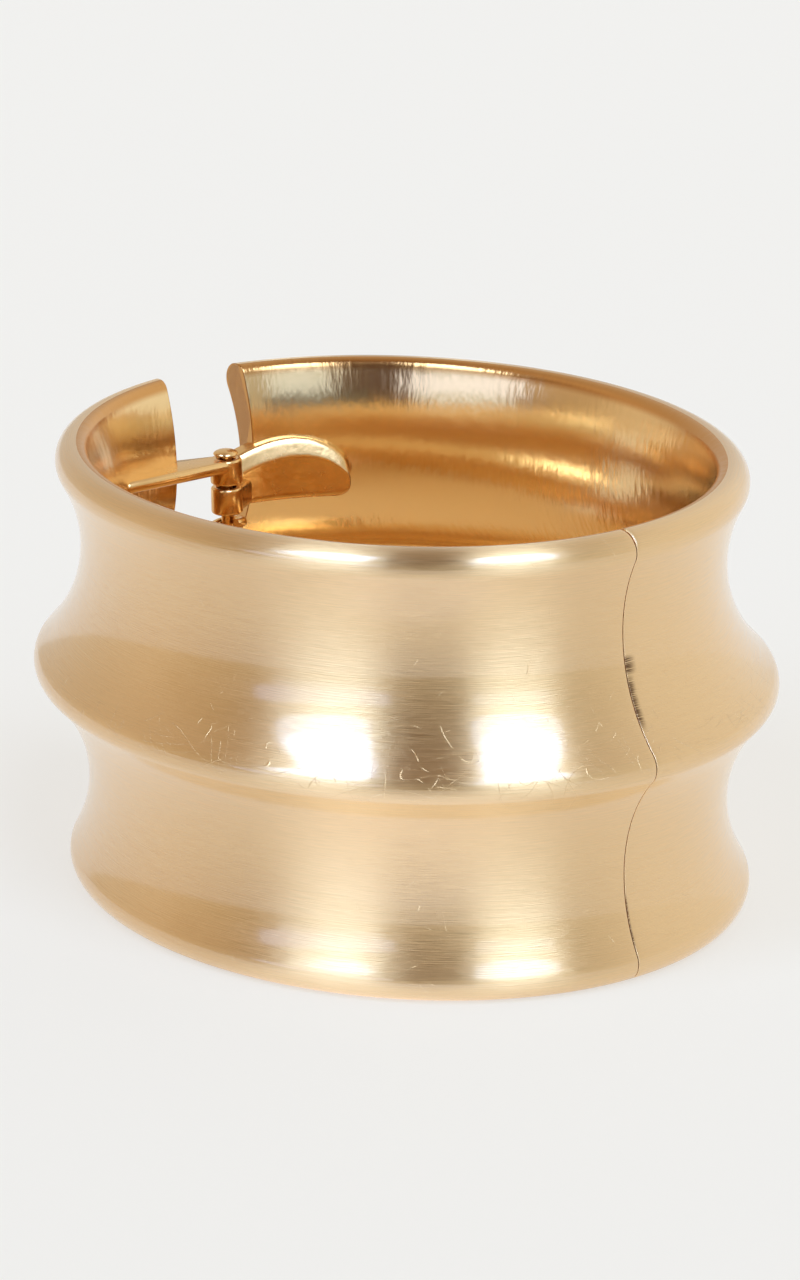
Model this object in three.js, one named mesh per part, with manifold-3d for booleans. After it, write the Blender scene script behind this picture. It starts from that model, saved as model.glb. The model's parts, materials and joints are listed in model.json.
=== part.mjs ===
// Hinged cuff bangle: an oval band in two half shells, joined by a sprung hinge in a gap at one end
// of the oval and meeting at a seam at the other end.
//
// Millimetres, +Z up. The origin is the middle of the band's footprint. The oval's long axis is X:
// the seam is at +X and the hinge gap at -X. The front shell is on the -Y side.

import * as THREE from 'three';
import { mergeVertices } from 'three/addons/utils/BufferGeometryUtils.js';
import Module from 'manifold-3d';

const wasm = await Module();
wasm.setup();

// ---- driving dimensions ----

const BAND_HEIGHT = 38;
const HALF_LENGTH = 34.8;         // the ridge's half-axis along X
const HALF_WIDTH = 29.6;          // the ridge's half-axis along Y

// The wall's section. Depths are measured inwards from the ridge's tip, and heights from the rim.
const RIDGE_RADIUS = 1.62;
const WAIST_RADIUS = 12.8;
const WAIST_HEIGHT = 8.7;
const LIP_RADIUS = 1.6;
const INNER_WAIST_DEPTH = 6.4;
const INNER_WAIST_HEIGHT = 7.4;
const FLARE_RADIUS = 20;
const INNER_EDGE_RADIUS = 1;
const HOLLOW_RADIUS = 15.5;
const VALLEY_RADIUS = 2;

// The two cuts through the band.
const SEAM_GAP = 0.3;
const HINGE_GAP = 8;

// The hinge. Heights are those of its upper half, and its lower half mirrors it.
const PIN_X = -26.3;
const PIN_RADIUS = 0.55;
const HEAD_RADIUS = 1.1;
const HEAD_HEIGHT = 0.4;
const EYE_RADIUS = 1.4;
const BORE_RADIUS = 0.85;
const CLEARANCE = 0.3;
const STRAP_TOP = 31;
const STRAP_BOTTOM = 29.9;
const STRAP_EYE_BOTTOM = 28.7;
const STRAP_LENGTH = 11.2;        // along Y from the pin
const LEAF_BOTTOM = 26;
const LEAF_CROWN = 31.6;          // the top edge is arched, and this is its highest point
const LEAF_CROWN_SHIFT = 2.4;     // how far the arch's peak leans towards the far end
const LEAF_SHOULDER = 30.5;       // where the top edge starts and ends
const LEAF_START = 2.2;           // where the leaf's full height begins, along Y from the pin
const LEAF_LENGTH = 11.4;         // along Y from the pin
const LEAF_THICKNESS = 1.3;
const LEAF_CORNER_RADIUS = 1.2;
const SOLDER_DEPTH = 0.8;         // how far straps and leaves reach into the wall

// The coil spring round the pin.
const SPRING_WIRE_RADIUS = 0.4;
const SPRING_RADIUS = 1.35;       // to the wire's middle
const SPRING_TURNS = 11;

// How finely the curves are faceted.
const SHELL_STEPS = 36;
const ROUND_SEGMENTS = 20;
const WIRE_SEGMENTS = 6;
const COIL_STEPS = 12;            // for each turn

const MIDDLE = BAND_HEIGHT / 2;
const LEAF_EYE_TOP = STRAP_EYE_BOTTOM - CLEARANCE;

// ---- solids ----

function toManifold(geometry) {
  const plain = geometry.index ? geometry.toNonIndexed() : geometry;
  plain.deleteAttribute('normal');
  plain.deleteAttribute('uv');
  const merged = mergeVertices(plain, 1e-4);
  const vertProperties = new Float32Array(merged.attributes.position.array);
  const triVerts = new Uint32Array(merged.index.array);
  return new wasm.Manifold(new wasm.Mesh({ numProp: 3, vertProperties, triVerts }));
}

function toGeometry(solid) {
  const { vertProperties, triVerts } = solid.getMesh();
  const geometry = new THREE.BufferGeometry();
  geometry.setAttribute('position', new THREE.BufferAttribute(new Float32Array(vertProperties), 3));
  geometry.setIndex(new THREE.BufferAttribute(new Uint32Array(triVerts), 1));
  geometry.computeVertexNormals();
  return geometry;
}

function joinAll(solids) {
  return solids.reduce((whole, solid) => whole.add(solid));
}

function box(low, high) {
  const size = high.map((value, axis) => value - low[axis]);
  const geometry = new THREE.BoxGeometry(...size);
  geometry.translate(...low.map((value, axis) => value + size[axis] / 2));
  return toManifold(geometry);
}

// An outline in X and Y, raised from one height to another.
function prism(outline, bottom, top) {
  const settings = { depth: top - bottom, bevelEnabled: false, curveSegments: ROUND_SEGMENTS / 2 };
  const geometry = new THREE.ExtrudeGeometry(outline, settings);
  geometry.translate(0, 0, bottom);
  return toManifold(geometry);
}

// The same prism twice: at its own heights, and mirrored about the band's middle.
function prismPair(outline, bottom, top) {
  const mirrored = prism(outline, BAND_HEIGHT - top, BAND_HEIGHT - bottom);
  return prism(outline, bottom, top).add(mirrored);
}

function polygon(points) {
  return new THREE.Shape(points.map(([x, y]) => new THREE.Vector2(x, y)));
}

function disc(x, radius) {
  return new THREE.Shape().absarc(x, 0, radius, 0, 2 * Math.PI);
}

// ---- the wall's section, as (depth, height) points ----

function arc(centre, radius, from, to, segments) {
  return Array.from({ length: segments + 1 }, (_, i) => {
    const angle = from + ((to - from) * i) / segments;
    return [centre[0] + radius * Math.cos(angle), centre[1] + radius * Math.sin(angle)];
  });
}

function heading(from, to) {
  return Math.atan2(to[1] - from[1], to[0] - from[0]);
}

// How far apart in depth two circles' centres lie, from their distance and their heights.
function depthBetween(distance, heightA, heightB) {
  return Math.sqrt(distance ** 2 - (heightA - heightB) ** 2);
}

// Runs of points laid end to end, without the point that each shares with the one before.
function chain(runs) {
  return runs.flatMap((run, i) => (i === 0 ? run : run.slice(1)));
}

// The lower half of the outside: lip, waist and ridge, each arc tangent to the next.
function outerHalf() {
  const ridge = [RIDGE_RADIUS, MIDDLE];
  const waistDepth = ridge[0] - depthBetween(RIDGE_RADIUS + WAIST_RADIUS, MIDDLE, WAIST_HEIGHT);
  const waist = [waistDepth, WAIST_HEIGHT];
  const lipDepth = waistDepth + depthBetween(LIP_RADIUS + WAIST_RADIUS, LIP_RADIUS, WAIST_HEIGHT);
  const lip = [lipDepth, LIP_RADIUS];
  return chain([
    arc(lip, LIP_RADIUS, -Math.PI / 2, heading(lip, waist) - 2 * Math.PI, 4),
    arc(waist, WAIST_RADIUS, heading(waist, lip), heading(waist, ridge), 6),
    arc(ridge, RIDGE_RADIUS, heading(ridge, waist), -Math.PI, 2),
  ]);
}

// The lower half of the inside: the valley behind the ridge, the hollow, the flare and the edge.
function innerHalf() {
  const hollow = [INNER_WAIST_DEPTH - HOLLOW_RADIUS, INNER_WAIST_HEIGHT];
  const valleyReach = depthBetween(HOLLOW_RADIUS + VALLEY_RADIUS, MIDDLE, INNER_WAIST_HEIGHT);
  const valley = [hollow[0] + valleyReach, MIDDLE];
  const flare = [INNER_WAIST_DEPTH - FLARE_RADIUS, INNER_WAIST_HEIGHT];
  const edgeReach = depthBetween(FLARE_RADIUS - INNER_EDGE_RADIUS, INNER_EDGE_RADIUS, INNER_WAIST_HEIGHT);
  const edge = [flare[0] + edgeReach, INNER_EDGE_RADIUS];
  return chain([
    arc(valley, VALLEY_RADIUS, Math.PI, heading(valley, hollow) + 2 * Math.PI, 2),
    arc(hollow, HOLLOW_RADIUS, heading(hollow, valley), 0, 4),
    arc(flare, FLARE_RADIUS, 0, heading(flare, edge), 3),
    arc(edge, INNER_EDGE_RADIUS, heading(flare, edge), -Math.PI / 2, 2),
  ]);
}

function wallSection() {
  const outer = outerHalf();
  const inner = innerHalf();
  const mirrored = (points) => points.map(([depth, height]) => [depth, BAND_HEIGHT - height]).reverse();
  const upperOuter = mirrored(outer).slice(1);
  const upperInner = mirrored(inner);
  return [...outer, ...upperOuter, ...upperInner, ...inner.slice(1)];
}

// ---- the oval ----

class RidgeOval extends THREE.Curve {
  constructor(startAngle, endAngle) {
    super();
    this.startAngle = startAngle;
    this.endAngle = endAngle;
  }

  getPoint(t, target = new THREE.Vector3()) {
    const angle = THREE.MathUtils.lerp(this.startAngle, this.endAngle, t);
    return target.set(HALF_LENGTH * Math.cos(angle), HALF_WIDTH * Math.sin(angle), 0);
  }
}

// The point at a depth inside the ridge's oval, beside the hinge, that lies a distance from the
// hinge's line. Side is -1 for the front shell and 1 for the back one.
function wallPoint(depth, distance, side) {
  const inset = (angle) => {
    const normal = new THREE.Vector2(HALF_WIDTH * Math.cos(angle), HALF_LENGTH * Math.sin(angle));
    normal.setLength(depth);
    return [HALF_LENGTH * Math.cos(angle) - normal.x, HALF_WIDTH * Math.sin(angle) - normal.y];
  };
  let low = Math.PI / 2;
  let high = Math.PI;
  while (high - low > 1e-6) {
    const middle = (low + high) / 2;
    if (inset(middle)[1] > distance) low = middle;
    else high = middle;
  }
  const [x, y] = inset(low);
  return [x, side * y];
}

function wallRun(depth, from, to, side, segments) {
  return Array.from({ length: segments + 1 }, (_, i) => {
    return wallPoint(depth, from + ((to - from) * i) / segments, side);
  });
}

// Half of the band, with flat ends beside the seam and the hinge gap.
function halfBand(side) {
  const overrun = 0.04;
  const start = side > 0 ? -overrun : Math.PI;
  const oval = new RidgeOval(start, start + Math.PI + overrun);
  // Along this path an outline's x runs down and its y inwards.
  const outline = polygon(wallSection().map(([depth, height]) => [-height, depth]));
  const geometry = new THREE.ExtrudeGeometry(outline, { steps: SHELL_STEPS, extrudePath: oval });
  const reach = 2 * HALF_LENGTH;
  const far = -side * reach;
  const cutter = (lowX, highX, gap) => {
    const edges = [far, (side * gap) / 2].sort((a, b) => a - b);
    return box([lowX, edges[0], -1], [highX, edges[1], BAND_HEIGHT + 1]);
  };
  return toManifold(geometry)
    .subtract(cutter(0, reach, SEAM_GAP))
    .subtract(cutter(-reach, 0, HINGE_GAP));
}

// ---- the hinge ----

function bores() {
  const hole = disc(PIN_X, BORE_RADIUS);
  return prism(hole, BAND_HEIGHT - STRAP_TOP - 1, STRAP_TOP + 1);
}

// The front shell's straps: bars that run straight from the wall to an eye round the pin.
function straps() {
  const eye = disc(PIN_X, EYE_RADIUS);
  const innerFace = PIN_X + EYE_RADIUS;
  const soldered = INNER_WAIST_DEPTH - SOLDER_DEPTH;
  const bar = polygon([
    [PIN_X - EYE_RADIUS, 0],
    ...wallRun(soldered, HINGE_GAP / 2, STRAP_LENGTH, -1, 4),
    [innerFace, -STRAP_LENGTH],
    [innerFace, 0],
  ]);
  return joinAll([
    prismPair(eye, STRAP_EYE_BOTTOM, STRAP_TOP),
    prismPair(bar, STRAP_BOTTOM, STRAP_TOP),
  ]);
}

// A leaf's outline in Y and Z, with an arched edge and rounded far corners, as a prism through the
// wall. Upright is 1 for the upper leaf and -1 for the lower one.
function leafMask(upright) {
  const point = (along, height) => {
    return new THREE.Vector2(along, MIDDLE + upright * (height - MIDDLE));
  };
  const near = LEAF_LENGTH - LEAF_CORNER_RADIUS;
  const outline = new THREE.Shape();
  outline.setFromPoints([point(LEAF_START, LEAF_BOTTOM), point(near, LEAF_BOTTOM)]);
  const corner = (fromHeight, toAlong, toHeight) => {
    const bend = point(LEAF_LENGTH, fromHeight);
    const end = point(toAlong, toHeight);
    outline.quadraticCurveTo(bend.x, bend.y, end.x, end.y);
  };
  corner(LEAF_BOTTOM, LEAF_LENGTH, LEAF_BOTTOM + LEAF_CORNER_RADIUS);
  const below = point(LEAF_LENGTH, LEAF_SHOULDER - LEAF_CORNER_RADIUS);
  outline.lineTo(below.x, below.y);
  corner(LEAF_SHOULDER, near, LEAF_SHOULDER);
  // A quadratic curve rises half as far as its control point.
  const middle = (LEAF_START + near) / 2;
  const arch = point(middle + LEAF_CROWN_SHIFT, 2 * LEAF_CROWN - LEAF_SHOULDER);
  const start = point(LEAF_START, LEAF_SHOULDER);
  outline.quadraticCurveTo(arch.x, arch.y, start.x, start.y);

  const settings = { depth: HALF_LENGTH, bevelEnabled: false, curveSegments: 6 };
  const geometry = new THREE.ExtrudeGeometry(outline, settings);
  const [x, y, z] = [new THREE.Vector3(1, 0, 0), new THREE.Vector3(0, 1, 0), new THREE.Vector3(0, 0, 1)];
  geometry.applyMatrix4(new THREE.Matrix4().makeBasis(y, z, x));
  geometry.translate(-HALF_LENGTH, 0, 0);
  return toManifold(geometry);
}

// The back shell's leaves: plates that lie along the wall, each with a neck to an eye round the pin.
function leaves() {
  const eye = disc(PIN_X, EYE_RADIUS);
  const soldered = INNER_WAIST_DEPTH - SOLDER_DEPTH;
  const face = INNER_WAIST_DEPTH + LEAF_THICKNESS;
  const plate = polygon([
    ...wallRun(soldered, LEAF_START, LEAF_LENGTH, 1, 6),
    ...wallRun(face, LEAF_START, LEAF_LENGTH, 1, 6).reverse(),
  ]);
  const neck = polygon([
    [PIN_X + EYE_RADIUS, 0],
    wallPoint(face, LEAF_START + 1, 1),
    wallPoint(soldered, LEAF_START + 1, 1),
    [PIN_X - EYE_RADIUS, 0],
  ]);
  return joinAll([
    prismPair(eye, LEAF_BOTTOM, LEAF_EYE_TOP),
    prismPair(neck, LEAF_BOTTOM, LEAF_EYE_TOP),
    prismPair(plate, LEAF_BOTTOM, LEAF_CROWN).intersect(leafMask(1).add(leafMask(-1))),
  ]);
}

// A shaft with a domed head at each end, on the Z axis.
function pinGeometry() {
  const underHead = STRAP_TOP + CLEARANCE;
  const dome = Array.from({ length: 5 }, (_, i) => {
    const angle = (i * Math.PI) / 8;
    return [HEAD_RADIUS * Math.cos(angle), underHead + HEAD_HEIGHT * Math.sin(angle)];
  });
  dome[dome.length - 1][0] = 0;
  const upper = [[PIN_RADIUS, underHead], ...dome];
  const lower = upper.map(([radius, height]) => [radius, BAND_HEIGHT - height]).reverse();
  const profile = [...lower, ...upper].map(([radius, height]) => new THREE.Vector2(radius, height));
  return new THREE.LatheGeometry(profile, ROUND_SEGMENTS).rotateX(Math.PI / 2);
}

class Coil extends THREE.Curve {
  constructor(bottom, top) {
    super();
    this.bottom = bottom;
    this.top = top;
  }

  getPoint(t, target = new THREE.Vector3()) {
    const angle = 2 * Math.PI * SPRING_TURNS * t;
    const height = THREE.MathUtils.lerp(this.bottom, this.top, t);
    return target.set(SPRING_RADIUS * Math.cos(angle), SPRING_RADIUS * Math.sin(angle), height);
  }
}

function springGeometry() {
  const top = LEAF_BOTTOM - CLEARANCE - SPRING_WIRE_RADIUS;
  const wire = Array.from({ length: WIRE_SEGMENTS }, (_, i) => {
    const angle = (2 * Math.PI * i) / WIRE_SEGMENTS;
    return [SPRING_WIRE_RADIUS * Math.cos(angle), SPRING_WIRE_RADIUS * Math.sin(angle)];
  });
  const settings = { steps: SPRING_TURNS * COIL_STEPS, extrudePath: new Coil(BAND_HEIGHT - top, top) };
  return new THREE.ExtrudeGeometry(polygon(wire), settings);
}

// ---- the assembly ----

const satinGold = { color: 0xdcb886, metalness: 1, roughness: 0.35 };
const polishedGold = { color: 0xe0ad66, metalness: 1, roughness: 0.12 };

function addMesh(group, name, geometry, finish) {
  const mesh = new THREE.Mesh(geometry, new THREE.MeshStandardMaterial(finish));
  mesh.name = name;
  group.add(mesh);
  return mesh;
}

const bangle = new THREE.Group();
bangle.name = 'bangle';
addMesh(bangle, 'front_shell', toGeometry(halfBand(-1).add(straps()).subtract(bores())), satinGold);
addMesh(bangle, 'back_shell', toGeometry(halfBand(1).add(leaves()).subtract(bores())), satinGold);

const hinge = new THREE.Group();
hinge.name = 'hinge';
hinge.position.x = PIN_X;
addMesh(hinge, 'hinge_pin', pinGeometry(), polishedGold);
addMesh(hinge, 'hinge_spring', springGeometry(), polishedGold);
bangle.add(hinge);

// The gap cuts off the oval's end, so the footprint's middle is a little towards the seam.
const gapEnd = HALF_LENGTH * Math.sqrt(1 - (HINGE_GAP / 2 / HALF_WIDTH) ** 2);
bangle.position.x = (gapEnd - HALF_LENGTH) / 2;

export default bangle;
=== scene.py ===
"""Hinged cuff bangle: an oval band in two half shells, joined by a sprung hinge."""

import functools
import itertools
import json
import math

import bmesh
import bpy
from bpy.props import FloatProperty, FloatVectorProperty, IntProperty, PointerProperty
from mathutils import Matrix, Vector


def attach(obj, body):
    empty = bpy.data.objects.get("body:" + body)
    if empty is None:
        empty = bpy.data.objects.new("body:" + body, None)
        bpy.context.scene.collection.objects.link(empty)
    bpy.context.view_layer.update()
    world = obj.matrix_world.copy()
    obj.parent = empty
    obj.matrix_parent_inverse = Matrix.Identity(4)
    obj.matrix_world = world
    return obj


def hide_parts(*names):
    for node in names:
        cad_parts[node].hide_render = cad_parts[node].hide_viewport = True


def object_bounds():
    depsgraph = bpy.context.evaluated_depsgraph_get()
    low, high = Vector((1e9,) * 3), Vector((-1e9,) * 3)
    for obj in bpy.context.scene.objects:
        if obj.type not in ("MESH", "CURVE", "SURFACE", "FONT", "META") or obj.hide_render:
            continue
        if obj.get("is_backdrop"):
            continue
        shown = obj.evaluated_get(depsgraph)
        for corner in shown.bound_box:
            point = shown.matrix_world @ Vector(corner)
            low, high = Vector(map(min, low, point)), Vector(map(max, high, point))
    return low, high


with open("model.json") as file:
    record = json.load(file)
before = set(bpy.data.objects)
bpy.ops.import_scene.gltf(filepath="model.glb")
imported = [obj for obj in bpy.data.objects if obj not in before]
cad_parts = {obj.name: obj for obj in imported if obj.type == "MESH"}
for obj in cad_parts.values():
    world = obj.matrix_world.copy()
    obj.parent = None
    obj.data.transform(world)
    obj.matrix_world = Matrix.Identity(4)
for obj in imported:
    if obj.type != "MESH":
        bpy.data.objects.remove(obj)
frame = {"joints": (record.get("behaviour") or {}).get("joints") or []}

bl_info = {
    "name": "Hinged cuff bangle",
    "version": (1, 0, 0),
    "blender": (4, 5, 0),
    "location": "View3D > Sidebar > Bangle",
    "description": "Builds a hinged cuff bangle round its frame, with its finishes and stage",
    "category": "Object",
}

CAD_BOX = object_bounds()
PIN_AXIS = Vector(frame["joints"][0]["pos_m"])


def number(name, default, description):
    return FloatProperty(name=name, default=default, description=description)


def length(name, default, description):
    return FloatProperty(
        name=name, default=default, description=description, unit="LENGTH", precision=5
    )


def colour(name, default, description):
    return FloatVectorProperty(
        name=name, default=default, description=description, subtype="COLOR", size=3, min=0, max=1
    )


class BandSizes(bpy.types.PropertyGroup):
    """The oval band. Depths are measured inwards from the ridge's tip, heights from the rim."""

    half_length: length("Half length", 0.0348, "The ridge's half-axis along X")
    half_width: length("Half width", 0.0296, "The ridge's half-axis along Y")
    height: length("Height", 0.038, "Height of the band")
    ridge_radius: length("Ridge radius", 0.00162, "Rounding of the ridge's tip")
    waist_radius: length("Waist radius", 0.0128, "Radius of the hollow above and below the ridge")
    waist_height: length("Waist height", 0.0087, "Height of the lower hollow's deepest line")
    lip_radius: length("Lip radius", 0.0016, "Rounding of the rims, outside")
    inner_waist_depth: length("Inner waist depth", 0.0064, "Depth of the inside's narrowest line")
    inner_waist_height: length("Inner waist height", 0.0074, "Height of that line")
    flare_radius: length("Flare radius", 0.02, "Radius of the inside towards the rims")
    inner_edge_radius: length("Inner edge radius", 0.001, "Rounding of the rims, inside")
    hollow_radius: length("Hollow radius", 0.0155, "Radius of the inside towards the ridge")
    valley_radius: length("Valley radius", 0.002, "Rounding of the inside behind the ridge")
    seam_gap: length("Seam gap", 0.00005, "Width of the seam between the shells' free ends")
    hinge_gap: length("Hinge gap", 0.008, "Width of the gap at the hinge")
    end_rounding: length("End rounding", 0.00008, "Rounding of the shells' cut ends")
    pin_inset: length("Pin inset", 0.0263, "Distance from the oval's middle to the hinge pin")
    steps: IntProperty(name="Steps", default=224, description="Sections along each shell")


class HingeSizes(bpy.types.PropertyGroup):
    """The hinge's upper half, which its lower half mirrors."""

    pin_radius: length("Pin radius", 0.00055, "Radius of the pin's shaft")
    head_radius: length("Head radius", 0.0011, "Radius of the pin's heads")
    head_height: length("Head height", 0.0004, "Height of the pin's domed heads")
    eye_radius: length("Eye radius", 0.0014, "Outer radius of the eyes round the pin")
    bore_radius: length("Bore radius", 0.00085, "Radius of the eyes' bores")
    clearance: length("Clearance", 0.0003, "Gap between parts that turn past each other")
    strap_top: length("Strap top", 0.031, "Height of the strap's top")
    strap_bottom: length("Strap bottom", 0.0299, "Height of the strap's underside")
    strap_eye_bottom: length("Strap eye bottom", 0.0287, "Height of the strap's eye's underside")
    strap_length: length("Strap length", 0.0112, "How far the strap runs from the pin")
    leaf_bottom: length("Leaf bottom", 0.026, "Height of the leaf's lower edge")
    leaf_pull: length("Leaf pull", 0.0332, "Height that the leaf's arched top is drawn towards")
    leaf_crown_shift: length("Crown shift", 0.0024, "How far the arch's peak leans outwards")
    leaf_shoulder: length("Leaf shoulder", 0.0305, "Height of the arch beside the pin")
    leaf_end: length("Leaf end", 0.0291, "Height of the arch at its far end")
    leaf_start: length("Leaf start", 0.0022, "Where the leaf begins, from the pin")
    leaf_length: length("Leaf length", 0.0114, "How far the leaf runs from the pin")
    leaf_thickness: length("Leaf thickness", 0.0013, "How far the leaf stands off the wall")
    leaf_corner: length("Leaf corner", 0.0012, "Rounding of the leaf's far corners")
    solder_depth: length("Solder depth", 0.0008, "How far straps and leaves reach into the wall")
    leaf_lean: length("Leaf lean", 0.0015, "Height of the leaf's top part, which leans back")
    leaf_slope: number("Leaf slope", 0.36, "How much it leans back")
    edge_rounding: length("Edge rounding", 0.0005, "Rounding of the straps' and leaves' edges")
    wire_radius: length("Wire radius", 0.0004, "Radius of the spring's wire")
    coil_radius: length("Coil radius", 0.00135, "Radius of the coil, to the wire's middle")
    coil_turns: IntProperty(name="Coil turns", default=11, description="Turns of the spring")


class GoldFinish(bpy.types.PropertyGroup):
    """The plating and how it is worked."""

    plating: colour("Plating", (0.93, 0.64, 0.315), "Colour of the satin plating")
    polished: colour("Polished", (0.96, 0.71, 0.38), "Colour of the polished inside")
    fittings: colour("Fittings", (0.94, 0.62, 0.28), "Colour of the hinge's plating")
    # Painted shade: the hinge's upright faces take this darker colour.
    worn: colour("Fittings' painted shade", (0.74, 0.39, 0.12), "Colour of the hinge's upright faces")
    tarnish: colour("Tarnish", (0.22, 0.13, 0.07), "Colour of the dark patches at the seam")
    # Painted reflection: the dim room above, reflected orange in the inside's outermost edge.
    rubbed: colour("Rim's painted reflection", (0.70, 0.37, 0.13), "Colour of the inside's outermost edge")
    # Painted shade on the shells' cut ends at the hinge and deep in the seam.
    cut_tone: colour("Cut ends", (0.58, 0.29, 0.09), "Colour of the shells' ends at the hinge")
    satin: number("Satin roughness", 0.41, "Brushed outside")
    brushing: number("Brushing", 0.97, "Anisotropy of the outside")
    polish: number("Polish roughness", 0.2, "Polished inside")
    lacquer: number("Lacquer", 1.0, "Clear coat on the outside")
    lacquer_ior: number("Lacquer IOR", 1.8, "Strength of its gloss")
    lacquer_blur: number("Lacquer blur", 0.11, "Blur of its gloss")
    line_length: length("Hairline length", 0.004, "Length of the brushing's hairlines")
    line_width: length("Hairline width", 0.00009, "Width of the brushing's hairlines")
    scratch_spacing: length("Scratch spacing", 0.0012, "Distance between scratches")
    scratched: number("Scratched", 0.34, "How scratched it is")
    ridge_wear: number("Ridge wear", 0.24, "More on the ridge")


class StudioSizes(bpy.types.PropertyGroup):
    """The camera, the lights and the floor."""

    azimuth: number("Azimuth", 54.82, "Degrees round from -Y")
    elevation: number("Elevation", 18.22, "Degrees above level")
    roll: number("Roll", -1.088, "Degrees of tilt")
    distance: length("Distance", 0.4437, "Camera to the point it aims at")
    aim_height: length("Aim height", 0.02085, "Height of the point the camera aims at")
    aim_shift: length("Aim shift", -0.0003, "Where that point is along X, from the middle")
    lens: number("Lens", 147.7, "Focal length in millimetres")
    floor_tone: colour("Floor tone", (0.25, 0.23, 0.19), "Colour of the floor")
    floor_glow: colour("Floor glow", (0.61, 0.605, 0.585), "Light that shines through the floor")
    floor_reach: length("Floor reach", 4.0, "Half the floor's width")
    pool_distance: length("Pool distance", 0.046, "From the band's middle to the pool of light")
    pool_turn: number("Pool turn", 8, "Degrees left of the camera")


SETTINGS = {
    "bangle_band": BandSizes,
    "bangle_hinge": HingeSizes,
    "bangle_finish": GoldFinish,
    "bangle_studio": StudioSizes,
}


def band():
    return bpy.context.scene.bangle_band


def hinge():
    return bpy.context.scene.bangle_hinge


# ---- node trees ----


def one_value(operation):
    """A field's method for an operation on the field alone."""
    return lambda self: maths(operation, self)


def two_values(operation):
    """A field's method for an operation, and the one for when the field comes second."""
    return (
        lambda self, other: maths(operation, self, other),
        lambda self, other: maths(operation, other, self),
    )


class Field:
    """A node's output, so that formulas can be written as arithmetic."""

    __add__, __radd__ = two_values("ADD")
    __sub__, __rsub__ = two_values("SUBTRACT")
    __mul__, __rmul__ = two_values("MULTIPLY")
    __truediv__, __rtruediv__ = two_values("DIVIDE")
    power = two_values("POWER")[0]
    root, sine, cosine = one_value("SQRT"), one_value("SINE"), one_value("COSINE")
    arcsine, floor, absolute = one_value("ARCSINE"), one_value("FLOOR"), one_value("ABSOLUTE")

    def __init__(self, socket):
        self.socket = socket

    def between_0_and_1(self):
        clamped = self + 0
        clamped.socket.node.use_clamp = True
        return clamped

    def step(self, low, high):
        """0 on low's side, rising smoothly to 1 on high's side."""
        return out(Tree(self.socket.id_data).add(
            "ShaderNodeMapRange", {"interpolation_type": "SMOOTHSTEP"},
            Value=self, From_Min=low, From_Max=high, To_Min=0.0, To_Max=1.0,
        ))


def maths(operation, *values):
    tree = next(value.socket.id_data for value in values if isinstance(value, Field))
    node = tree.nodes.new("ShaderNodeMath")
    node.operation = operation
    for port, value in zip(node.inputs, values):
        feed(port, value)
    return Field(node.outputs[0])


def greatest(values):
    return functools.reduce(lambda most, value: maths("MAXIMUM", most, value), values)


def feed(port, value):
    """Links a port to a field or to a node's first output, or gives it a plain value."""
    if isinstance(value, bpy.types.Node):
        value = out(value)
    if isinstance(value, Field):
        port.id_data.links.new(value.socket, port)
    else:
        port.default_value = (*value, 1) if port.type == "RGBA" else value


def out(node, name=None):
    enabled = [p for p in node.outputs if p.enabled]
    return Field(enabled[0] if name is None else next(p for p in enabled if p.name == name))


class Tree:
    """A node tree, and the steps that all kinds of tree share."""

    def __init__(self, tree):
        self.tree = tree

    def add(self, kind, settings=None, **inputs):
        """A new node. Inputs are given by socket name, with underscores for spaces."""
        node = self.tree.nodes.new(kind)
        for name, value in (settings or {}).items():
            setattr(node, name, value)
        for name, value in inputs.items():
            name = name.replace("_", " ")
            feed(next(p for p in node.inputs if p.enabled and p.name == name), value)
        return node

    def parts(self, vector):
        return [Field(port) for port in self.add("ShaderNodeSeparateXYZ", Vector=vector).outputs]

    def vector(self, x, y, z):
        return self.add("ShaderNodeCombineXYZ", X=x, Y=y, Z=z)

    def vector_maths(self, operation, *values):
        node = self.add("ShaderNodeVectorMath", {"operation": operation})
        for port, value in zip(node.inputs, values):
            feed(port, value)
        return out(node)

    def noise(self, place, scale, detail):
        return out(self.add("ShaderNodeTexNoise", Vector=place, Scale=scale, Detail=detail))

    def mix(self, low, high, factor):
        """A colour between two colours."""
        node = self.add("ShaderNodeMix", {"data_type": "RGBA"})
        for place, value in ((0, factor), (6, low), (7, high)):
            feed(node.inputs[place], value)
        return Field(node.outputs[2])


class GroupTree(Tree):
    """A node group. Its inputs are given by name with their usual values, and a socket's kind is
    its value's."""

    KIND = "ShaderNodeTree"

    def __init__(self, name, inputs):
        super().__init__(bpy.data.node_groups.new(name, self.KIND))
        self.inputs = inputs
        for label, value in inputs.items():
            kind = "NodeSocket" + type(value).__name__.capitalize()
            socket = self.tree.interface.new_socket(label, in_out="INPUT", socket_type=kind)
            socket.default_value = value
        self.entry = self.tree.nodes.new("NodeGroupInput")
        self.exit = self.tree.nodes.new("NodeGroupOutput")

    def given(self, label):
        return out(self.entry, label)

    def give(self, label, value, kind="NodeSocketFloat"):
        self.tree.interface.new_socket(label, in_out="OUTPUT", socket_type=kind)
        feed(self.exit.inputs[label], value)


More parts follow.
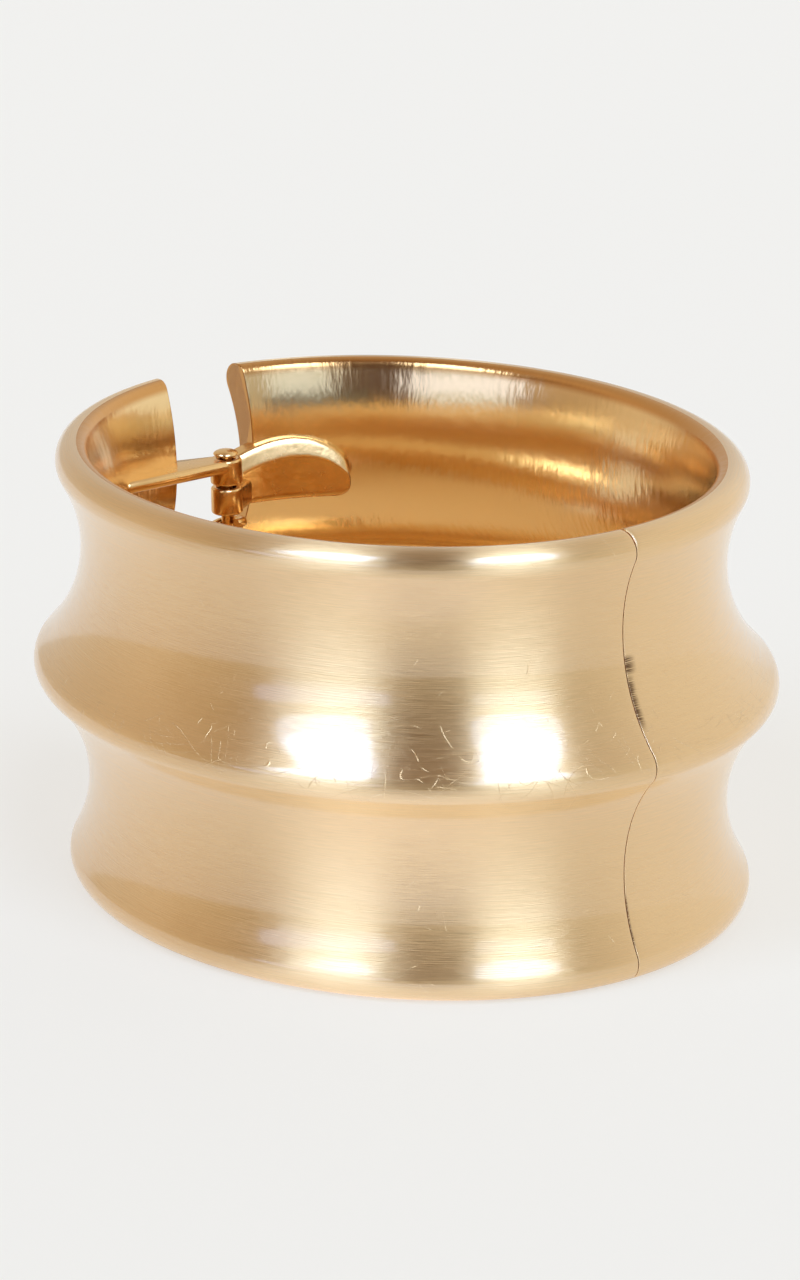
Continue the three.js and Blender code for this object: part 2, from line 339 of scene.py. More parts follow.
class ShapeTree(GroupTree):
    """A Geometry Nodes tree, and the steps that most shapes share."""

    KIND = "GeometryNodeTree"

    def attribute(self, name, kind="FLOAT"):
        return self.add("GeometryNodeInputNamedAttribute", {"data_type": kind}, Name=name)

    def read(self, geometry, value, index, kind="FLOAT"):
        """A value of another piece's point."""
        return out(self.add(
            "GeometryNodeSampleIndex", {"data_type": kind},
            Geometry=geometry, Value=value, Index=index,
        ))

    def store(self, geometry, name, value, kind="FLOAT"):
        return self.add(
            "GeometryNodeStoreNamedAttribute", {"data_type": kind, "domain": "POINT"},
            Geometry=geometry, Name=name, Value=value,
        )

    def finish(self, geometry, inner=None):
        """Smooths and colours the shape, and ends the tree. Inner picks the faces, if any, that
        take the inner material."""
        smooth = self.add("GeometryNodeSetShadeSmooth", Geometry=geometry)
        real = self.add("GeometryNodeRealizeInstances", Geometry=smooth)
        coloured = self.add(
            "GeometryNodeSetMaterial", Geometry=real, Material=self.given("Material")
        )
        if inner:
            coloured = self.add(
                "GeometryNodeSetMaterial", Geometry=coloured, Selection=inner,
                Material=self.given("Inner material"),
            )
        self.give("Geometry", coloured, "NodeSocketGeometry")

    def shape(self, name):
        """Runs the tree and keeps its result as a plain mesh object."""
        host = new_piece(name + "_host", bpy.data.meshes.new(name + "_host"))
        modifier = host.modifiers.new("shape", "NODES")
        modifier.node_group = self.tree
        for item in self.tree.interface.items_tree:
            if item.in_out == "INPUT":
                modifier[item.identifier] = self.inputs[item.name]
        return evaluated_piece(name, host)


def new_piece(name, mesh):
    piece = bpy.data.objects.new(name, mesh)
    bpy.context.scene.collection.objects.link(piece)
    return piece


def evaluated_piece(name, *hosts):
    """A plain piece of what the first host's modifiers make of it. The hosts are removed."""
    made = hosts[0].evaluated_get(bpy.context.evaluated_depsgraph_get())
    mesh = bpy.data.meshes.new_from_object(made)
    for host in hosts:
        bpy.data.objects.remove(host)
    mesh.name = name
    return new_piece(name, mesh)


# ---- the wall's section ----


def arc(centre, radius, start, end, segments, outward):
    """Points of an arc as (depth, height, normal depth, normal height).
    Outward is 1 where the metal lies on the centre's side, and -1 where it lies beyond."""
    points = []
    for i in range(segments + 1):
        angle = start + (end - start) * i / segments
        across, up = math.cos(angle), math.sin(angle)
        place = (centre[0] + radius * across, centre[1] + radius * up)
        points.append((*place, outward * across, outward * up))
    return points


def heading(start, end):
    return math.atan2(end[1] - start[1], end[0] - start[0])


def depth_between(distance, height_a, height_b):
    return math.sqrt(distance**2 - (height_a - height_b) ** 2)


def chain(runs):
    return runs[0] + [point for run in runs[1:] for point in run[1:]]


def outer_half(sizes):
    """The lower half of the outside: lip, waist and ridge."""
    middle = sizes.height / 2
    ridge = (sizes.ridge_radius, middle)
    reach = depth_between(sizes.ridge_radius + sizes.waist_radius, middle, sizes.waist_height)
    waist = (ridge[0] - reach, sizes.waist_height)
    reach = depth_between(sizes.lip_radius + sizes.waist_radius, sizes.lip_radius, waist[1])
    lip = (waist[0] + reach, sizes.lip_radius)
    return chain([
        arc(lip, sizes.lip_radius, -math.pi / 2, heading(lip, waist) - 2 * math.pi, 20, 1),
        arc(waist, sizes.waist_radius, heading(waist, lip), heading(waist, ridge), 26, -1),
        arc(ridge, sizes.ridge_radius, heading(ridge, waist), -math.pi, 8, 1),
    ])


def inner_half(sizes):
    """The lower half of the inside: valley, hollow, flare and edge."""
    middle = sizes.height / 2
    hollow = (sizes.inner_waist_depth - sizes.hollow_radius, sizes.inner_waist_height)
    reach = depth_between(sizes.hollow_radius + sizes.valley_radius, middle, hollow[1])
    valley = (hollow[0] + reach, middle)
    flare = (sizes.inner_waist_depth - sizes.flare_radius, sizes.inner_waist_height)
    edge_radius = sizes.inner_edge_radius
    reach = depth_between(sizes.flare_radius - edge_radius, edge_radius, flare[1])
    edge = (flare[0] + reach, edge_radius)
    turned = heading(valley, hollow) + 2 * math.pi
    return chain([
        arc(valley, sizes.valley_radius, math.pi, turned, 8, -1),
        arc(hollow, sizes.hollow_radius, heading(hollow, valley), 0, 18, 1),
        arc(flare, sizes.flare_radius, 0, heading(flare, edge), 10, 1),
        arc(edge, edge_radius, heading(flare, edge), -math.pi / 2, 12, 1),
    ])


def wall_section(sizes):
    """The closed section. Its last number is 1 on the polished inside, and 0 elsewhere."""

    def mirrored(points):
        return [(d, sizes.height - h, nd, -nh) for d, h, nd, nh in reversed(points)]

    outer, inner = outer_half(sizes), inner_half(sizes)
    outside = outer + mirrored(outer)[1:]
    inside = mirrored(inner) + inner[1:]
    return [(*point, 0) for point in outside] + [(*point, 1) for point in inside]


def section_object(sizes):
    """A mesh of the section's points, carrying what the sweep reads."""
    points = wall_section(sizes)
    mesh = bpy.data.meshes.new("wall_section")
    mesh.from_pydata([(depth, height, 0) for depth, height, *_ in points], [], [])
    outward = mesh.attributes.new("outward", "FLOAT_VECTOR", "POINT")
    outward.data.foreach_set("vector", [v for p in points for v in (p[2], p[3], 0)])
    steps = [math.dist(before[:2], after[:2]) for before, after in zip(points, points[1:])]
    runs = list(itertools.accumulate(steps, initial=0))
    mesh.attributes.new("run", "FLOAT", "POINT").data.foreach_set("value", runs)
    inside = mesh.attributes.new("inside", "FLOAT", "POINT")
    inside.data.foreach_set("value", [float(p[4]) for p in points])
    return new_piece("wall_section", mesh)


# ---- the shells ----

ANGLE_PASSES = 3
END_RINGS = 5
RIM_CORNER_HEIGHT = 0.0012


def angle_at(side_distance, depth, length_axis, width_axis):
    """The oval's angle, from its long axis, where a curve at a depth is that far from the axis."""
    sine = side_distance / width_axis
    for _ in range(ANGLE_PASSES):
        spread = width_axis.power(2) + (length_axis.power(2) - width_axis.power(2)) * sine.power(2)
        sine = side_distance / (width_axis - depth * length_axis / spread.root())
    return sine.arcsine()


def half_shell_tree(section, side, materials, sizes):
    """The wall's section swept along half of the oval, with flat, rounded ends."""
    satin, polished = materials
    tree = ShapeTree("Half shell", {
        "Section": section,
        "Side": float(side),
        "Half length": sizes.half_length,
        "Half width": sizes.half_width,
        "Middle": PIN_AXIS.x + sizes.pin_inset,
        "Seam half gap": sizes.seam_gap / 2,
        "Hinge half gap": sizes.hinge_gap / 2,
        "End rounding": sizes.end_rounding,
        "Rim corner": 2.5,
        "Ridge depth": 0.003,
        "Steps": sizes.steps,
        "Section points": len(section.data.vertices),
        "Material": satin,
        "Inner material": polished,
    })
    given = tree.given
    length_axis, width_axis = given("Half length"), given("Half width")
    path = tree.add("GeometryNodeCurvePrimitiveLine")
    path = tree.add("GeometryNodeResampleCurve", Curve=path, Count=given("Steps"))
    ring = tree.add("GeometryNodeCurvePrimitiveCircle", Resolution=given("Section points"))
    tube = tree.add("GeometryNodeCurveToMesh", Curve=path, Profile_Curve=ring, Fill_Caps=True)

    index, count = out(tree.add("GeometryNodeInputIndex")), given("Section points")
    step = ((index + 0.5) / count).floor()
    spot = index - step * count
    outline = out(tree.add("GeometryNodeObjectInfo", Object=given("Section")), "Geometry")
    place = tree.add("GeometryNodeInputPosition")
    depth, height, _ = tree.parts(tree.read(outline, place, spot, "FLOAT_VECTOR"))
    outward = tree.attribute("outward", "FLOAT_VECTOR")
    away, up, _ = tree.parts(tree.read(outline, outward, spot, "FLOAT_VECTOR"))
    run, inside = (tree.read(outline, tree.attribute(name), spot) for name in ("run", "inside"))

    # The first and last rings turn the sharp ends into quarter rounds. At the seam these are
    # widest on the rim.
    rounding = given("End rounding")
    rim = (height - (sizes.height - RIM_CORNER_HEIGHT)) / RIM_CORNER_HEIGHT
    seam_rounding = rounding * (1 + rim.between_0_and_1() * given("Rim corner"))
    last = given("Steps") - 1
    near_seam = ((END_RINGS - step) / END_RINGS).between_0_and_1() * (math.pi / 2)
    near_hinge = ((step - last + END_RINGS) / END_RINGS).between_0_and_1() * (math.pi / 2)
    inset = seam_rounding * (1 - near_seam.cosine()) + rounding * (1 - near_hinge.cosine())
    depth = depth - inset * away
    height = height - inset * up
    seam_side = given("Seam half gap") + seam_rounding * (1 - near_seam.sine())
    hinge_side = given("Hinge half gap") + rounding * (1 - near_hinge.sine())
    first_angle = angle_at(seam_side, depth, length_axis, width_axis)
    last_angle = math.pi - angle_at(hinge_side, depth, length_axis, width_axis)
    along = ((step - END_RINGS) / (last - 2 * END_RINGS)).between_0_and_1()
    angle = first_angle + (last_angle - first_angle) * along

    cosine, sine = angle.cosine(), angle.sine()
    spread = (width_axis.power(2) * cosine.power(2) + length_axis.power(2) * sine.power(2)).root()
    x = length_axis * cosine - depth * width_axis * cosine / spread + given("Middle")
    y = (width_axis * sine - depth * length_axis * sine / spread) * given("Side")
    shaped = tree.add("GeometryNodeSetPosition", Geometry=tube, Position=tree.vector(x, y, height))
    along_band = angle * (length_axis + width_axis) / 2 * given("Side")
    stored = tree.store(shaped, "band", tree.vector(along_band, run, inside), "FLOAT_VECTOR")
    # The cut ends' painted shade begins at once beside the hinge, and only deep in the seam, where
    # it darkens the seam's crevice.
    hinge_rise, seam_start, seam_rise = 4, 0.8, 3
    cut = (near_hinge * hinge_rise).between_0_and_1()
    cut += ((near_seam - seam_start) * seam_rise).between_0_and_1()
    stored = tree.store(stored, "cut", cut)
    ridge = (1 - depth / given("Ridge depth")).between_0_and_1()
    stored = tree.store(stored, "ridge", ridge)
    facing = maths("LESS_THAN", given("Side"), 0)
    flipped = tree.add("GeometryNodeFlipFaces", Mesh=stored, Selection=facing)
    inner = tree.parts(tree.attribute("band", "FLOAT_VECTOR"))[2] + out(tree.attribute("cut"))
    tree.finish(flipped, inner=maths("GREATER_THAN", inner, 0.5))
    return tree


# ---- finishes ----


class Finish(Tree):
    """A material, round its Principled shader."""

    EFFECTS = {}

    def __init__(self, name, metallic=1.0, roughness=0.3):
        self.material = bpy.data.materials.new(name)
        self.material.use_nodes = True
        super().__init__(self.material.node_tree)
        self.shader = self.tree.nodes["Principled BSDF"]
        self.set(Metallic=metallic, Roughness=roughness)

    def set(self, **values):
        for name, value in values.items():
            feed(self.shader.inputs[name.replace("_", " ")], value)

    def attribute(self, name, part="Fac"):
        return out(self.add("ShaderNodeAttribute", {"attribute_name": name}), part)

    def coordinates(self, name="Object"):
        return out(self.add("ShaderNodeTexCoord"), name)

    def bump(self, height, strength, depth):
        return self.add("ShaderNodeBump", Strength=strength, Distance=depth, Height=height)

    def effect(self, make, **values):
        """What an effect puts out. Its node group is made once and then shared."""
        if make not in self.EFFECTS:
            self.EFFECTS[make] = make().tree
        return out(self.add("ShaderNodeGroup", {"node_tree": self.EFFECTS[make]}, **values))


def brushing_effect():
    """Hairlines drawn along the first axis of the given place, in metres."""
    tree = GroupTree("Brushed hairlines", {
        "Place": Vector(), "Line Length": 0.012, "Line Width": 0.00012,
    })
    along, around, _ = tree.parts(tree.given("Place"))
    layers, apart, fade = [], 7.0, 0.6
    for order, (longer, wider) in enumerate(((1.0, 1.0), (0.45, 2.0), (1.6, 4.0))):
        line_length = tree.given("Line Length") * longer
        line_width = tree.given("Line Width") * wider
        stretched = tree.vector(along / line_length, around / line_width, 3 + order * apart)
        layers.append((tree.noise(stretched, scale=1, detail=1) - 0.5) * fade**order)
    tree.give("Tone", sum(layers) + 0.5)
    return tree


def scratch_effect():
    """Hairline scratches: long, gentle curves at three slants, broken into short runs."""
    tree = GroupTree("Fine scratches", {
        "Place": Vector(), "Spacing": 0.0016, "Width": 0.01, "Amount": 0.5,
    })
    spread = tree.vector_maths("DIVIDE", tree.given("Place"), tree.given("Spacing"))
    marks, apart, sway, sharpness = [], 7.3, 6, 9
    for order, slant in enumerate((-0.4, 0.25, 1.1)):
        turned = tree.add(
            "ShaderNodeVectorRotate", {"rotation_type": "Z_AXIS"}, Vector=spread, Angle=slant
        )
        drawn = tree.add(
            "ShaderNodeMapping", Vector=turned, Scale=(0.3, 0.7, 1), Location=(order * apart, 0, 0)
        )
        bend = tree.noise(drawn, scale=0.5, detail=0) * sway
        place = maths("FRACT", tree.parts(turned)[1] + bend)
        line = (place - 0.5).absolute().step(tree.given("Width"), 0.0)
        runs = tree.noise(drawn, scale=1.3, detail=1)
        shown = (runs - 1 + tree.given("Amount")) * sharpness
        marks.append(line * shown.between_0_and_1())
    tree.give("Mask", greatest(marks))
    return tree


def uneven_effect():
    """Slight waves of a polished casting, drawn out upwards by Drawn Out."""
    inputs = {"Place": Vector(), "Wave Length": 0.001, "Drawn Out": 1.0}
    tree = GroupTree("Uneven polish", inputs)
    x, y, z = (part / tree.given("Wave Length") for part in tree.parts(tree.given("Place")))
    drawn = tree.vector(x, y / tree.given("Drawn Out"), z)
    tree.give("Height", tree.noise(drawn, scale=1, detail=2))
    return tree


# Tarnished patches on the back shell, at the seam: height, half height and reach from the seam.
TARNISH = (
    (0.0267, 0.0009, 0.0012),
    (0.0239, 0.0024, 0.0008),
    (0.0050, 0.0026, 0.0002),
)


def tarnish_mask(finish, tone):
    """Where the gold is tarnished, broken up by the brushing's tone. Only at the seam are the
    shells so near Y = 0."""
    _, side, height = finish.parts(finish.coordinates())
    core, palest, sharpness = 0.2, 0.3, 5
    patches = [
        (height - middle).absolute().step(half, half / 2) * side.step(reach, reach * core)
        for middle, half, reach in TARNISH
    ]
    speckle = ((tone - palest) * sharpness).between_0_and_1()
    return greatest(patches) * maths("GREATER_THAN", side, 0) * speckle


def satin_material():
    """Satin gold, brushed along the band, for the outside."""
    gold = bpy.context.scene.bangle_finish
    finish = Finish("brushed_gold", roughness=gold.satin)
    place = finish.attribute("band", "Vector")
    tone = finish.effect(
        brushing_effect, Place=place, Line_Length=gold.line_length, Line_Width=gold.line_width
    )
    amount = gold.scratched + finish.attribute("ridge") * gold.ridge_wear
    scratches = finish.effect(
        scratch_effect, Place=place, Spacing=gold.scratch_spacing, Width=0.026, Amount=amount
    )
    shade, unevenness, scratch_depth = 0.11, 0.25, 0.7
    light, dark = ([c * (1 + shift) for c in gold.plating] for shift in (shade, -shade))
    tarnish = tarnish_mask(finish, tone)
    plating = finish.mix(finish.mix(dark, light, tone), gold.tarnish, tarnish)
    tangent = finish.add("ShaderNodeTangent", {"direction_type": "UV_MAP", "uv_map": "band_uv"})
    finish.set(Base_Color=plating, Roughness=gold.satin + (tone - 0.5) * unevenness)
    relief = tone - scratches * scratch_depth
    finish.set(Normal=finish.bump(relief, strength=0.8, depth=0.00003))
    finish.set(Tangent=tangent, Anisotropic=gold.brushing)
    finish.set(Coat_Weight=gold.lacquer * (1 - tarnish))
    finish.set(Coat_IOR=gold.lacquer_ior, Coat_Roughness=gold.lacquer_blur)
    return finish.material


def inner_material():
    """Polished gold for the inside, redder at the rims with a painted reflection of the dim room
    above, and darker on the shells' cut ends and deep in the seam with painted shade.
    """
    gold = bpy.context.scene.bangle_finish
    finish = Finish("inner_gold", roughness=gold.polish)
    place = finish.attribute("band", "Vector")
    waves = finish.effect(uneven_effect, Place=place, Wave_Length=0.0007, Drawn_Out=2.5)
    middle = band().height / 2
    from_middle = (finish.parts(finish.coordinates())[2] - middle).absolute()
    # Painted reflection of the dim room above, orange, on the inside's top and bottom edges.
    rim_reflection_from, rim_reflection_full = 0.0012, 0.0005
    rim = from_middle.step(middle - rim_reflection_from, middle - rim_reflection_full)
    plating = finish.mix(gold.polished, gold.rubbed, rim)
    # Painted shade: the cut ends and the seam's crevice take a darker brown.
    plating = finish.mix(plating, gold.cut_tone, finish.attribute("cut"))
    finish.set(Base_Color=plating, Normal=finish.bump(waves, strength=0.8, depth=0.00004))
    return finish.material


def polished_material():
    """Polished gold for the hinge, with painted shade making its upright faces darker."""
    if made := bpy.data.materials.get("fittings_gold"):
        return made
    gold = bpy.context.scene.bangle_finish
    finish = Finish("fittings_gold")
    sloping, upright, polish, unevenness = 0.25, -0.05, 0.08, 0.3
    # Painted shade: faces that stand upright, by their normals, take the darker colour.
    worn = finish.parts(finish.coordinates("Normal"))[2].step(sloping, upright)
    waves = finish.effect(uneven_effect, Place=finish.coordinates(), Wave_Length=0.0011)
    plating = finish.mix(gold.fittings, gold.worn, worn)
    finish.set(Base_Color=plating, Normal=finish.bump(waves, strength=0.5, depth=0.00006))
    finish.set(Roughness=waves * unevenness + polish)
    return finish.material


def add_band_uv(mesh):
    """A UV map that runs up the section first and along the band second."""
    uv = mesh.uv_layers.new(name="band_uv")
    place = mesh.attributes["band"].data
    for loop in mesh.loops:
        along, around, _ = place[loop.vertex_index].vector
        uv.data[loop.index].uv = (around, along)


class BANGLE_OT_shells(bpy.types.Operator):
    """Sweep the front and back half shells"""

    bl_idname = "bangle.shells"
    bl_label = "Half shells"

    def execute(self, context):
        sizes = band()
        section = section_object(sizes)
        materials = satin_material(), inner_material()
        for name, side, body in (("front", -1, "front_half"), ("back", 1, "back_half")):
            shell = half_shell_tree(section, side, materials, sizes).shape(name + "_band")
            add_band_uv(shell.data)
            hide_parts(name + "_shell")
            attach(shell, body)
        bpy.data.objects.remove(section)
        return {"FINISHED"}


# ---- the hinge ----

HALVINGS = 40
LATHE_SEGMENTS = 40
SHARP_ANGLE = math.radians(40)
BEVEL_ANGLE = math.radians(25)


def wall_point(depth, distance, side):
    """The point at a depth inside the ridge's oval, beside the hinge, that far from its line."""
    sizes = band()

    def inset(angle):
        cosine, sine = math.cos(angle), math.sin(angle)
        spread = math.hypot(sizes.half_width * cosine, sizes.half_length * sine)
        across = sizes.half_length * cosine - depth * sizes.half_width * cosine / spread
        aside = sizes.half_width * sine - depth * sizes.half_length * sine / spread
        return across, aside

    low, high = math.pi / 2, math.pi
    for _ in range(HALVINGS):
        middle = (low + high) / 2
        if inset(middle)[1] > distance:
            low = middle
        else:
            high = middle
    across, aside = inset(low)
    return PIN_AXIS.x + sizes.pin_inset + across, side * aside


def wall_run(depth, start, end, side, segments):
    stops = [start + (end - start) * i / segments for i in range(segments + 1)]
    return [wall_point(depth, stop, side) for stop in stops]


def prism(outline, low, high, rounding):
    """A mesh of an outline in X and Y between two heights, with its edges rounded."""
    shape = bmesh.new()
    face = shape.faces.new([shape.verts.new((x, y, low)) for x, y in outline])
    raised = bmesh.ops.extrude_face_region(shape, geom=[face])["geom"]
    for vertex in raised:
        if isinstance(vertex, bmesh.types.BMVert):
            vertex.co.z = high
    bmesh.ops.recalc_face_normals(shape, faces=shape.faces)
    sharp = [e for e in shape.edges if e.calc_face_angle(0) > BEVEL_ANGLE]
    bmesh.ops.bevel(
        shape, geom=sharp, offset=rounding, segments=3, profile=0.5, affect="EDGES",
        clamp_overlap=True,
    )
    return shape


def lathe(profile):
    """A mesh of a closed (radius, height) profile, or one that ends on the axis, round the pin."""
    shape = bmesh.new()
    rings = []
    for radius, height in profile:
        count = 1 if radius == 0 else LATHE_SEGMENTS
        turns = [2 * math.pi * i / count for i in range(count)]
        rings.append([
            shape.verts.new((PIN_AXIS.x + radius * math.cos(t), radius * math.sin(t), height))
            for t in turns
        ])
    closed = all(radius > 0 for radius, _ in profile)
    pairs = list(zip(rings, rings[1:])) + ([(rings[-1], rings[0])] if closed else [])
    for lower, upper in pairs:
        for i in range(LATHE_SEGMENTS):
            corners = [lower[i % len(lower)], lower[(i + 1) % len(lower)]]
            corners += [upper[(i + 1) % len(upper)], upper[i % len(upper)]]
            shape.faces.new(dict.fromkeys(corners))
    bmesh.ops.recalc_face_normals(shape, faces=shape.faces)
    return shape


def eye(low, high):
    """A ring round the pin with rounded edges."""
    sizes = hinge()
    corner_share, steps = 0.4, 3
    corner = (sizes.eye_radius - sizes.bore_radius) * corner_share
    outer, inner = sizes.eye_radius - corner, sizes.bore_radius + corner
    upper, lower = high - corner, low + corner
    profile = []
    corners = ((outer, upper), (inner, upper), (inner, lower), (outer, lower))
    for quarter, (radius, height) in enumerate(corners):
        for i in range(steps + 1):
            turn = (quarter + i / steps) * math.pi / 2
            profile.append((radius + corner * math.cos(turn), height + corner * math.sin(turn)))
    return lathe(profile)


def mesh_object(name, shape):
    mesh = bpy.data.meshes.new(name)
    shape.to_mesh(mesh)
    shape.free()
    return new_piece(name, mesh)


def joined(name, shapes):
    """One solid of overlapping meshes with the pin's bore in it, and its mirror image in the
    band's lower half."""
    radius, top = hinge().bore_radius, 0.1
    bore = lathe([(0, 0), (radius, 0), (radius, top), (0, top)])
    pieces = [mesh_object(f"{name}_{i}", shape) for i, shape in enumerate([*shapes, bore])]
    for other in pieces[1:]:
        modifier = pieces[0].modifiers.new(other.name, "BOOLEAN")
        modifier.operation = "DIFFERENCE" if other == pieces[-1] else "UNION"
        modifier.solver, modifier.object = "EXACT", other
    piece = evaluated_piece(name, *pieces)
    both = bmesh.new()
    both.from_mesh(piece.data)
    copy = bmesh.ops.duplicate(both, geom=[*both.verts, *both.edges, *both.faces])["geom"]
    for item in copy:
        if isinstance(item, bmesh.types.BMVert):
            item.co.z = band().height - item.co.z
    faces = [item for item in copy if isinstance(item, bmesh.types.BMFace)]
    bmesh.ops.reverse_faces(both, faces=faces)
    both.to_mesh(piece.data)
    both.free()
    return piece


def dress(piece, body, node):
    """Finishes one of the hinge's pieces: its shading, gold, body and the node it stands for."""
    piece.data.shade_smooth()
    piece.data.set_sharp_from_angle(angle=SHARP_ANGLE)
    piece.data.materials.clear()
    piece.data.materials.append(polished_material())
    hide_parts(node)
    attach(piece, body)


def eye_side(across, side):
    """A point of a bar's end, just inside the eye's ring: one side of the pin or the other."""
    radius, inside, aside = hinge().eye_radius, 0.97, 0.2
    return PIN_AXIS.x + across * radius * inside, side * radius * aside


def strap_shapes():
    """The front shell's upper strap: a bar from the wall to an eye round the pin."""
    sizes = hinge()
    soldered = band().inner_waist_depth - sizes.solder_depth
    outline = [
        eye_side(-1, -1),
        *wall_run(soldered, band().hinge_gap / 2, sizes.strap_length, -1, 4),
        (PIN_AXIS.x + sizes.eye_radius, -sizes.strap_length),
        eye_side(1, -1),
    ]
    bar = prism(outline, sizes.strap_bottom, sizes.strap_top, sizes.edge_rounding)
    return [eye(sizes.strap_eye_bottom, sizes.strap_top), bar]


def leaf_edges(place):
    """The leaf's lower and upper edge, at a distance from the pin's line."""
    sizes = hinge()
    start, end, corner = sizes.leaf_start, sizes.leaf_length, sizes.leaf_corner
    past = max(0, place - (end - corner))
    low = sizes.leaf_bottom + corner - math.sqrt(max(0, corner**2 - past**2))
    # The upper edge is a quadratic curve, drawn towards a point above the leaf's far half.
    pull = (start + end) / 2 + sizes.leaf_crown_shift
    a, b = start - 2 * pull + end, pull - start
    t = (math.sqrt(b * b + a * (place - start)) - b) / a
    high = (1 - t) ** 2 * sizes.leaf_shoulder + 2 * t * (1 - t) * sizes.leaf_pull
    return low, high + t**2 * sizes.leaf_end


def leaf_plate(soldered, face):
    """A plate bent along the wall between two depths. Its upper part leans back and its edges
    are rounded."""
    sizes = hinge()
    radius = sizes.edge_rounding

    def rounded(gap):
        return radius - math.sqrt(max(0, radius**2 - max(0, radius - gap) ** 2))

    columns, rows = 44, 30
    upper_share, least = 0.6, 0.00005
    shape = bmesh.new()
    front, back = [], []
    for i in range(columns + 1):
        along = math.sin(i / columns * math.pi / 2)
        place = sizes.leaf_start + (sizes.leaf_length - sizes.leaf_start) * along
        low, high = leaf_edges(place)
        front.append([])
        back.append([])
        for j in range(rows + 1):
            height = low + (high - low) * (1 - math.cos(j / rows * math.pi)) / 2
            lean = max(0, sizes.leaf_lean - (high - height)) * sizes.leaf_slope
            edges = rounded(height - low) + rounded(high - height) * upper_share
            edges += rounded(sizes.leaf_length - place)
            depth = max(soldered + least, face - lean - edges)
            front[-1].append(shape.verts.new((*wall_point(depth, place, 1), height)))
            back[-1].append(shape.verts.new((*wall_point(soldered, place, 1), height)))
    for i in range(columns):
        for j in range(rows):
            shape.faces.new((front[i][j], front[i + 1][j], front[i + 1][j + 1], front[i][j + 1]))
            shape.faces.new((back[i][j + 1], back[i + 1][j + 1], back[i + 1][j], back[i][j]))
        for j in (0, rows):
            shape.faces.new((front[i][j], back[i][j], back[i + 1][j], front[i + 1][j]))
    for i in (0, columns):
        for j in range(rows):
            shape.faces.new((front[i][j], front[i][j + 1], back[i][j + 1], back[i][j]))
    bmesh.ops.recalc_face_normals(shape, faces=shape.faces)
    return shape


def leaf_shapes():
    """The back shell's upper leaf: its plate, and a neck to its eye round the pin."""
    sizes = hinge()
    soldered = band().inner_waist_depth - sizes.solder_depth
    face = band().inner_waist_depth + sizes.leaf_thickness
    overlap, recess = 0.001, 0.0001
    neck_end = sizes.leaf_start + overlap
    outline = [
        eye_side(-1, 1),
        wall_point(soldered, neck_end, 1),
        wall_point(face - recess, neck_end, 1),
        eye_side(1, 1),
    ]
    low, high = sizes.leaf_bottom, sizes.strap_eye_bottom - sizes.clearance
    neck = prism(outline, low, high, sizes.edge_rounding)
    return [eye(low, high), neck, leaf_plate(soldered, face)]


def coil_tree():
    """The spring's wire, wound round the pin between the two leaves' eyes."""
    sizes = hinge()
    top = sizes.leaf_bottom - sizes.clearance - sizes.wire_radius
    tree = ShapeTree("Coil spring", {
        "Turns": float(sizes.coil_turns),
        "Coil radius": sizes.coil_radius,
        "Wire radius": sizes.wire_radius,
        "Bottom": band().height - top,
        "Height": 2 * top - band().height,
        "Pin": PIN_AXIS.x,
        "Material": polished_material(),
    })
    given = tree.given
    spiral = tree.add(
        "GeometryNodeCurveSpiral", Resolution=32, Rotations=given("Turns"),
        Start_Radius=given("Coil radius"), End_Radius=given("Coil radius"), Height=given("Height"),
    )
    wire = tree.add("GeometryNodeCurvePrimitiveCircle", Resolution=12, Radius=given("Wire radius"))
    coil = tree.add("GeometryNodeCurveToMesh", Curve=spiral, Profile_Curve=wire, Fill_Caps=True)
    place = tree.vector(given("Pin"), 0.0, given("Bottom"))
    tree.finish(tree.add("GeometryNodeTransform", Geometry=coil, Translation=place))
    return tree


def pin_shape():
    """A shaft with a domed head at each end."""
    sizes = hinge()
    corner, steps = 0.00008, 8
    under_head = sizes.strap_top + sizes.clearance
    upper = [(sizes.pin_radius, under_head), (sizes.head_radius - corner, under_head)]
    for i in range(steps + 1):
        turn = math.pi / 2 * i / steps
        radius = sizes.head_radius * math.cos(turn) if i < steps else 0
        upper.append((radius, under_head + corner + sizes.head_height * math.sin(turn)))
    lower = [(radius, band().height - height) for radius, height in reversed(upper)]
    return lathe(lower + upper)


class BANGLE_OT_arms(bpy.types.Operator):
    """Make the straps and leaves soldered inside the shells"""

    bl_idname = "bangle.arms"
    bl_label = "Straps and leaves"

    def execute(self, context):
        straps = joined("front_straps", strap_shapes())
        dress(straps, "front_half", "front_shell")
        leaves = joined("back_leaves", leaf_shapes())
        dress(leaves, "back_half", "back_shell")
        return {"FINISHED"}


class BANGLE_OT_pin(bpy.types.Operator):
    """Turn the hinge pin"""

    bl_idname = "bangle.pin"
    bl_label = "Hinge pin"

    def execute(self, context):
        pin = mesh_object("hinge_pin_turned", pin_shape())
        dress(pin, "back_half", "hinge_pin")
        return {"FINISHED"}


class BANGLE_OT_spring(bpy.types.Operator):
    """Wind the coil spring"""

    bl_idname = "bangle.spring"
    bl_label = "Coil spring"

    def execute(self, context):
        spring = coil_tree().shape("hinge_coil")
        dress(spring, "back_half", "hinge_spring")
        return {"FINISHED"}


# Light round the bangle, by degrees round from the camera, to its right.
SURROUND = (
    (-180, (0.64, 0.60, 0.54)),
    (-130, (0.60, 0.51, 0.40)),
    (-104, (0.67, 0.54, 0.40)),
    (-84, (0.44, 0.32, 0.19)),
    (-70, (0.24, 0.14, 0.06)),
    (-20, (0.08, 0.04, 0.02)),
    (0, (0.12, 0.07, 0.04)),
    (48, (0.52, 0.49, 0.42)),
    (80, (0.84, 0.82, 0.76)),
    (150, (0.88, 0.86, 0.80)),
    (180, (0.64, 0.60, 0.54)),
)

